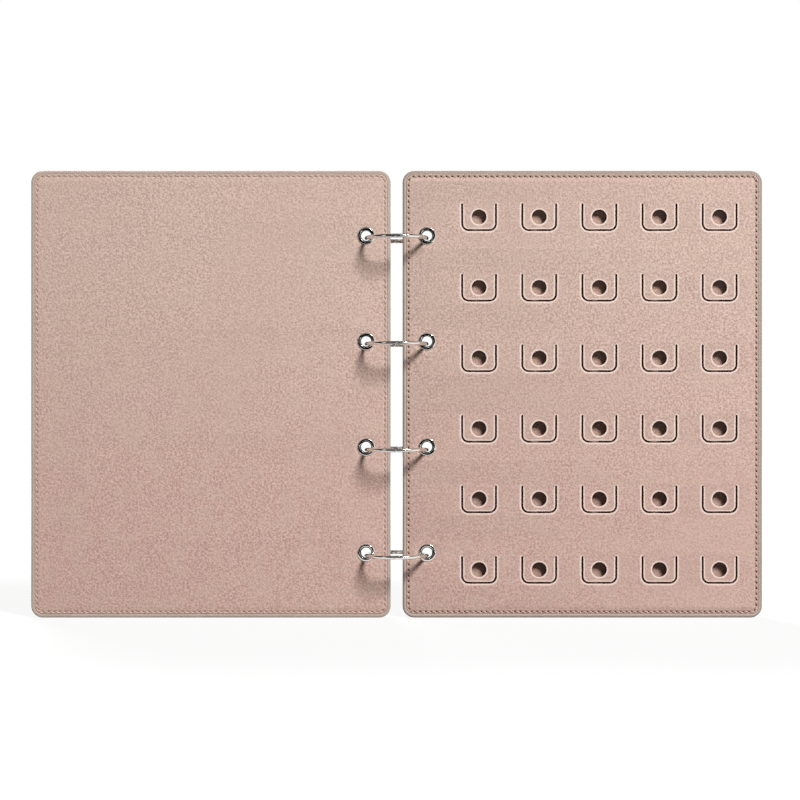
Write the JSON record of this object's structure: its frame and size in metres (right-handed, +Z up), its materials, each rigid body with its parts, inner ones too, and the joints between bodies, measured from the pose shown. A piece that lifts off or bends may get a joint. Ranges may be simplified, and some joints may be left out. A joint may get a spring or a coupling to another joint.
{
  "type": "felt storage booklet",
  "caption": "Felt-lined booklet of two stiff leaves on hinged book rings, open flat; slit tongues with holes in one leaf hold small pieces of jewellery.",
  "frame": {"origin": "on the floor under the ring centres, in the middle of the gap between the leaves and of their thickness", "axes": "+X to the right, from the cover leaf to the holder leaf; +Y away from the felt faces, to the back; +Z up, towards the roots of the tongues"},
  "size_m": [0.3762, 0.0333, 0.23],
  "materials": {
    "felt": "matte",
    "outer_skin": "satin",
    "board": "matte",
    "spacer": "matte",
    "nickel": "polished"
  },
  "bodies": {
    "holder_leaf": {"holder_outer_skin": "outer_skin", "holder_floor_felt": "felt", "holder_spacer": "spacer", "holder_lining": "felt", "holder_eyelet_1": "nickel", "holder_eyelet_2": "nickel", "holder_eyelet_3": "nickel", "holder_eyelet_4": "nickel"},
    "ring_right_halves": {"ring_right_half_1": "nickel", "ring_right_half_2": "nickel", "ring_right_half_3": "nickel", "ring_right_half_4": "nickel", "ring_pin_1": "nickel", "ring_pin_2": "nickel", "ring_pin_3": "nickel", "ring_pin_4": "nickel"},
    "ring_left_halves": {"ring_left_half_1": "nickel", "ring_left_half_2": "nickel", "ring_left_half_3": "nickel", "ring_left_half_4": "nickel"},
    "cover_leaf": {"cover_outer_skin": "outer_skin", "cover_board": "board", "cover_lining": "felt", "cover_eyelet_1": "nickel", "cover_eyelet_2": "nickel", "cover_eyelet_3": "nickel", "cover_eyelet_4": "nickel"},
    "tongue_r1_c1": {"tongue_r1_c1": "felt"},
    "tongue_r1_c2": {"tongue_r1_c2": "felt"},
    "tongue_r1_c3": {"tongue_r1_c3": "felt"},
    "tongue_r1_c4": {"tongue_r1_c4": "felt"},
    "tongue_r1_c5": {"tongue_r1_c5": "felt"},
    "tongue_r2_c1": {"tongue_r2_c1": "felt"},
    "tongue_r2_c2": {"tongue_r2_c2": "felt"},
    "tongue_r2_c3": {"tongue_r2_c3": "felt"},
    "tongue_r2_c4": {"tongue_r2_c4": "felt"},
    "tongue_r2_c5": {"tongue_r2_c5": "felt"},
    "tongue_r3_c1": {"tongue_r3_c1": "felt"},
    "tongue_r3_c2": {"tongue_r3_c2": "felt"},
    "tongue_r3_c3": {"tongue_r3_c3": "felt"},
    "tongue_r3_c4": {"tongue_r3_c4": "felt"},
    "tongue_r3_c5": {"tongue_r3_c5": "felt"},
    "tongue_r4_c1": {"tongue_r4_c1": "felt"},
    "tongue_r4_c2": {"tongue_r4_c2": "felt"},
    "tongue_r4_c3": {"tongue_r4_c3": "felt"},
    "tongue_r4_c4": {"tongue_r4_c4": "felt"},
    "tongue_r4_c5": {"tongue_r4_c5": "felt"},
    "tongue_r5_c1": {"tongue_r5_c1": "felt"},
    "tongue_r5_c2": {"tongue_r5_c2": "felt"},
    "tongue_r5_c3": {"tongue_r5_c3": "felt"},
    "tongue_r5_c4": {"tongue_r5_c4": "felt"},
    "tongue_r5_c5": {"tongue_r5_c5": "felt"},
    "tongue_r6_c1": {"tongue_r6_c1": "felt"},
    "tongue_r6_c2": {"tongue_r6_c2": "felt"},
    "tongue_r6_c3": {"tongue_r6_c3": "felt"},
    "tongue_r6_c4": {"tongue_r6_c4": "felt"},
    "tongue_r6_c5": {"tongue_r6_c5": "felt"}
  },
  "joints": [
    {"name": "rings_open", "type": "hinge", "parent": "ring_left_halves", "child": "ring_right_halves", "pos_m": [0, 0.0157, 0.11375], "axis": [0, 0, 1], "range_deg": [0, 60]},
    {"name": "cover_turn", "type": "hinge", "parent": "ring_left_halves", "child": "cover_leaf", "pos_m": [0, 0, 0.11375], "axis": [0, 0, 1], "range_deg": [-160, 160]},
    {"name": "rings_tilt", "type": "hinge", "parent": "ring_right_halves", "child": "holder_leaf", "pos_m": [0.0157, 0, 0.11375], "axis": [0, 0, -1], "range_deg": [-20, 20]},
    {"name": "tongue_r1_c1_lift", "type": "hinge", "parent": "holder_leaf", "child": "tongue_r1_c1", "pos_m": [0.0424, -0.00225, 0.2127], "axis": [-1, 0, 0], "range_deg": [-7, 60], "stiffness_Nm_per_rad": 0.001},
    {"name": "tongue_r1_c2_lift", "type": "hinge", "parent": "holder_leaf", "child": "tongue_r1_c2", "pos_m": [0.07335, -0.00225, 0.2127], "axis": [-1, 0, 0], "range_deg": [-7, 60], "stiffness_Nm_per_rad": 0.001},
    {"name": "tongue_r1_c3_lift", "type": "hinge", "parent": "holder_leaf", "child": "tongue_r1_c3", "pos_m": [0.1043, -0.00225, 0.2127], "axis": [-1, 0, 0], "range_deg": [-7, 60], "stiffness_Nm_per_rad": 0.001},
    {"name": "tongue_r1_c4_lift", "type": "hinge", "parent": "holder_leaf", "child": "tongue_r1_c4", "pos_m": [0.13525, -0.00225, 0.2127], "axis": [-1, 0, 0], "range_deg": [-7, 60], "stiffness_Nm_per_rad": 0.001},
    {"name": "tongue_r1_c5_lift", "type": "hinge", "parent": "holder_leaf", "child": "tongue_r1_c5", "pos_m": [0.1662, -0.00225, 0.2127], "axis": [-1, 0, 0], "range_deg": [-7, 60], "stiffness_Nm_per_rad": 0.001},
    {"name": "tongue_r2_c1_lift", "type": "hinge", "parent": "holder_leaf", "child": "tongue_r2_c1", "pos_m": [0.0424, -0.00225, 0.1764], "axis": [-1, 0, 0], "range_deg": [-7, 60], "stiffness_Nm_per_rad": 0.001},
    {"name": "tongue_r2_c2_lift", "type": "hinge", "parent": "holder_leaf", "child": "tongue_r2_c2", "pos_m": [0.07335, -0.00225, 0.1764], "axis": [-1, 0, 0], "range_deg": [-7, 60], "stiffness_Nm_per_rad": 0.001},
    {"name": "tongue_r2_c3_lift", "type": "hinge", "parent": "holder_leaf", "child": "tongue_r2_c3", "pos_m": [0.1043, -0.00225, 0.1764], "axis": [-1, 0, 0], "range_deg": [-7, 60], "stiffness_Nm_per_rad": 0.001},
    {"name": "tongue_r2_c4_lift", "type": "hinge", "parent": "holder_leaf", "child": "tongue_r2_c4", "pos_m": [0.13525, -0.00225, 0.1764], "axis": [-1, 0, 0], "range_deg": [-7, 60], "stiffness_Nm_per_rad": 0.001},
    {"name": "tongue_r2_c5_lift", "type": "hinge", "parent": "holder_leaf", "child": "tongue_r2_c5", "pos_m": [0.1662, -0.00225, 0.1764], "axis": [-1, 0, 0], "range_deg": [-7, 60], "stiffness_Nm_per_rad": 0.001},
    {"name": "tongue_r3_c1_lift", "type": "hinge", "parent": "holder_leaf", "child": "tongue_r3_c1", "pos_m": [0.0424, -0.00225, 0.1401], "axis": [-1, 0, 0], "range_deg": [-7, 60], "stiffness_Nm_per_rad": 0.001},
    {"name": "tongue_r3_c2_lift", "type": "hinge", "parent": "holder_leaf", "child": "tongue_r3_c2", "pos_m": [0.07335, -0.00225, 0.1401], "axis": [-1, 0, 0], "range_deg": [-7, 60], "stiffness_Nm_per_rad": 0.001},
    {"name": "tongue_r3_c3_lift", "type": "hinge", "parent": "holder_leaf", "child": "tongue_r3_c3", "pos_m": [0.1043, -0.00225, 0.1401], "axis": [-1, 0, 0], "range_deg": [-7, 60], "stiffness_Nm_per_rad": 0.001},
    {"name": "tongue_r3_c4_lift", "type": "hinge", "parent": "holder_leaf", "child": "tongue_r3_c4", "pos_m": [0.13525, -0.00225, 0.1401], "axis": [-1, 0, 0], "range_deg": [-7, 60], "stiffness_Nm_per_rad": 0.001},
    {"name": "tongue_r3_c5_lift", "type": "hinge", "parent": "holder_leaf", "child": "tongue_r3_c5", "pos_m": [0.1662, -0.00225, 0.1401], "axis": [-1, 0, 0], "range_deg": [-7, 60], "stiffness_Nm_per_rad": 0.001},
    {"name": "tongue_r4_c1_lift", "type": "hinge", "parent": "holder_leaf", "child": "tongue_r4_c1", "pos_m": [0.0424, -0.00225, 0.1038], "axis": [-1, 0, 0], "range_deg": [-7, 60], "stiffness_Nm_per_rad": 0.001},
    {"name": "tongue_r4_c2_lift", "type": "hinge", "parent": "holder_leaf", "child": "tongue_r4_c2", "pos_m": [0.07335, -0.00225, 0.1038], "axis": [-1, 0, 0], "range_deg": [-7, 60], "stiffness_Nm_per_rad": 0.001},
    {"name": "tongue_r4_c3_lift", "type": "hinge", "parent": "holder_leaf", "child": "tongue_r4_c3", "pos_m": [0.1043, -0.00225, 0.1038], "axis": [-1, 0, 0], "range_deg": [-7, 60], "stiffness_Nm_per_rad": 0.001},
    {"name": "tongue_r4_c4_lift", "type": "hinge", "parent": "holder_leaf", "child": "tongue_r4_c4", "pos_m": [0.13525, -0.00225, 0.1038], "axis": [-1, 0, 0], "range_deg": [-7, 60], "stiffness_Nm_per_rad": 0.001},
    {"name": "tongue_r4_c5_lift", "type": "hinge", "parent": "holder_leaf", "child": "tongue_r4_c5", "pos_m": [0.1662, -0.00225, 0.1038], "axis": [-1, 0, 0], "range_deg": [-7, 60], "stiffness_Nm_per_rad": 0.001},
    {"name": "tongue_r5_c1_lift", "type": "hinge", "parent": "holder_leaf", "child": "tongue_r5_c1", "pos_m": [0.0424, -0.00225, 0.0675], "axis": [-1, 0, 0], "range_deg": [-7, 60], "stiffness_Nm_per_rad": 0.001},
    {"name": "tongue_r5_c2_lift", "type": "hinge", "parent": "holder_leaf", "child": "tongue_r5_c2", "pos_m": [0.07335, -0.00225, 0.0675], "axis": [-1, 0, 0], "range_deg": [-7, 60], "stiffness_Nm_per_rad": 0.001},
    {"name": "tongue_r5_c3_lift", "type": "hinge", "parent": "holder_leaf", "child": "tongue_r5_c3", "pos_m": [0.1043, -0.00225, 0.0675], "axis": [-1, 0, 0], "range_deg": [-7, 60], "stiffness_Nm_per_rad": 0.001},
    {"name": "tongue_r5_c4_lift", "type": "hinge", "parent": "holder_leaf", "child": "tongue_r5_c4", "pos_m": [0.13525, -0.00225, 0.0675], "axis": [-1, 0, 0], "range_deg": [-7, 60], "stiffness_Nm_per_rad": 0.001},
    {"name": "tongue_r5_c5_lift", "type": "hinge", "parent": "holder_leaf", "child": "tongue_r5_c5", "pos_m": [0.1662, -0.00225, 0.0675], "axis": [-1, 0, 0], "range_deg": [-7, 60], "stiffness_Nm_per_rad": 0.001},
    {"name": "tongue_r6_c1_lift", "type": "hinge", "parent": "holder_leaf", "child": "tongue_r6_c1", "pos_m": [0.0424, -0.00225, 0.0312], "axis": [-1, 0, 0], "range_deg": [-7, 60], "stiffness_Nm_per_rad": 0.001},
    {"name": "tongue_r6_c2_lift", "type": "hinge", "parent": "holder_leaf", "child": "tongue_r6_c2", "pos_m": [0.07335, -0.00225, 0.0312], "axis": [-1, 0, 0], "range_deg": [-7, 60], "stiffness_Nm_per_rad": 0.001},
    {"name": "tongue_r6_c3_lift", "type": "hinge", "parent": "holder_leaf", "child": "tongue_r6_c3", "pos_m": [0.1043, -0.00225, 0.0312], "axis": [-1, 0, 0], "range_deg": [-7, 60], "stiffness_Nm_per_rad": 0.001},
    {"name": "tongue_r6_c4_lift", "type": "hinge", "parent": "holder_leaf", "child": "tongue_r6_c4", "pos_m": [0.13525, -0.00225, 0.0312], "axis": [-1, 0, 0], "range_deg": [-7, 60], "stiffness_Nm_per_rad": 0.001},
    {"name": "tongue_r6_c5_lift", "type": "hinge", "parent": "holder_leaf", "child": "tongue_r6_c5", "pos_m": [0.1662, -0.00225, 0.0312], "axis": [-1, 0, 0], "range_deg": [-7, 60], "stiffness_Nm_per_rad": 0.001}
  ],
  "couplings": [
    {"joint": "rings_tilt", "follows": "cover_turn", "ratio": 0.125}
  ]
}
